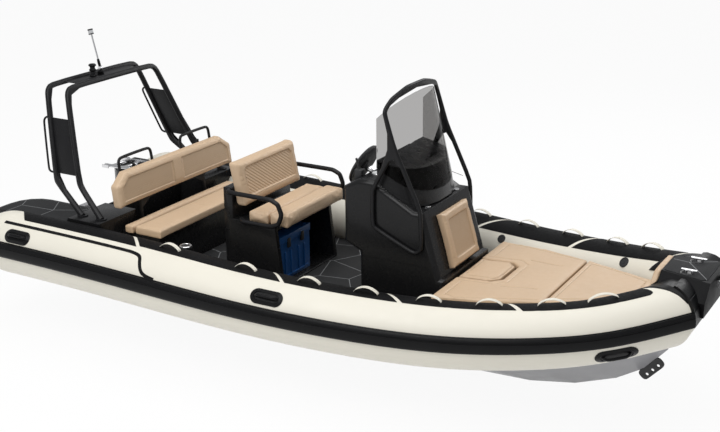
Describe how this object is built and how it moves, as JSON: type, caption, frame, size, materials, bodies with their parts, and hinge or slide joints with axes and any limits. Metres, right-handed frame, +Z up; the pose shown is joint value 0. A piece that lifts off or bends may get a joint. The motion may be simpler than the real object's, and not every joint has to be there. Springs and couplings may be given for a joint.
{
  "type": "rigid inflatable boat with centre console",
  "caption": "Rigid inflatable boat: V hull, tapered inflatable collar, centre console with windscreen, helm seat, bow and stern cushions, arch and boarding ladder.",
  "frame": {"origin": "on the centreline at the waterline, in the plane of the transom's after face", "axes": "+X towards the bow, +Y to port, +Z up"},
  "size_m": [5.881, 2.5512, 2.3112],
  "materials": {
    "hull_gelcoat": "mid-grey gelcoat, glossy",
    "deck_foam": "dark grey foam deck sheet with light lines",
    "collar_fabric": "cream coated fabric, satin",
    "black_rubber": "near-black ribbed rubber",
    "webbing": "cream coated strap",
    "dark_plastic": "black moulded plastic",
    "console_gelcoat": "near-black gelcoat, glossy",
    "stainless": "polished stainless tube",
    "seat_vinyl": "beige tan upholstery vinyl with stitched seams and channels",
    "black_tube": "black coated bent tube and plate, satin",
    "smoked_acrylic": "smoked acrylic",
    "cooler_plastic": "dark blue moulded plastic"
  },
  "bodies": {
    "root": {"hull": "hull_gelcoat", "transom": "hull_gelcoat", "deck_pad": "deck_foam", "tube_port": "collar_fabric", "tube_starboard": "collar_fabric", "tube_bow": "collar_fabric", "rubstrakes": "black_rubber", "top_patches": "black_rubber", "grab_loops": "webbing", "lift_handles": "black_rubber", "inflation_valves": "dark_plastic", "after_platforms": "console_gelcoat", "platform_pads": "deck_foam", "bow_cap": "console_gelcoat", "bow_guard": "black_rubber", "bow_roller": "dark_plastic", "bow_fittings": "stainless", "tow_plate": "dark_plastic", "bow_bolster": "seat_vinyl", "bow_locker": "console_gelcoat", "bow_cushion": "seat_vinyl", "bow_hatch_cushion": "seat_vinyl", "console": "console_gelcoat", "console_frame": "black_tube", "windscreen": "smoked_acrylic", "console_fittings": "stainless", "throttle": "dark_plastic", "helm_base": "console_gelcoat", "helm_cushion": "seat_vinyl", "helm_back": "seat_vinyl", "helm_rails": "black_tube", "bench_base": "console_gelcoat", "bench_cushion": "seat_vinyl", "bench_back": "seat_vinyl", "bench_frame": "black_tube", "arch_front_hoop": "black_tube", "arch_rear_hoop": "black_tube", "arch_top_plate": "black_tube", "arch_side_plates": "black_tube", "arch_outer_rails": "black_tube", "ladder_brackets": "stainless"},
    "wheel": {"steering_wheel": "dark_plastic"},
    "front_door": {"front_seat_back": "seat_vinyl"},
    "bow_hatch": {"bow_lid": "seat_vinyl"},
    "bolster_flap": {"helm_bolster": "seat_vinyl"},
    "cool_box": {"cooler": "cooler_plastic"},
    "bench_hatch": {"bench_lid": "seat_vinyl"},
    "ladder": {"boarding_ladder": "stainless"},
    "mast": {"light_mast": "stainless"}
  },
  "joints": [
    {"name": "steering_turn", "type": "hinge", "parent": "root", "child": "wheel", "pos_m": [2.59, 0, 1.128], "axis": [-0.8829, 0, 0.4695], "range_deg": [-540, 540]},
    {"name": "front_seat_door", "type": "hinge", "parent": "root", "child": "front_door", "pos_m": [3.31766, 0.231, 0.91359], "axis": [-0.2852, 0, 0.9585], "range_deg": [0, 95]},
    {"name": "bow_lid_hinge", "type": "hinge", "parent": "root", "child": "bow_hatch", "pos_m": [4.24, 0, 0.50673], "axis": [0, -1, 0], "range_deg": [0, 80]},
    {"name": "bolster_flip", "type": "hinge", "parent": "root", "child": "bolster_flap", "pos_m": [1.985, 0, 0.765], "axis": [0, -1, 0], "range_deg": [0, 85]},
    {"name": "cooler_slide", "type": "slide", "parent": "root", "child": "cool_box", "axis": [1, 0, 0], "range_m": [0, 0.42]},
    {"name": "bench_lid_hinge", "type": "hinge", "parent": "root", "child": "bench_hatch", "pos_m": [0.857, 0, 0.5453], "axis": [0, -1, 0], "range_deg": [0, 85]},
    {"name": "ladder_swing", "type": "hinge", "parent": "root", "child": "ladder", "pos_m": [-0.5, 0.63, 0.554], "axis": [0, -1, 0], "range_deg": [0, 270]},
    {"name": "mast_fold", "type": "hinge", "parent": "root", "child": "mast", "pos_m": [0.01, 0, 1.6145], "axis": [0, -1, 0], "range_deg": [-14, 70]}
  ]
}
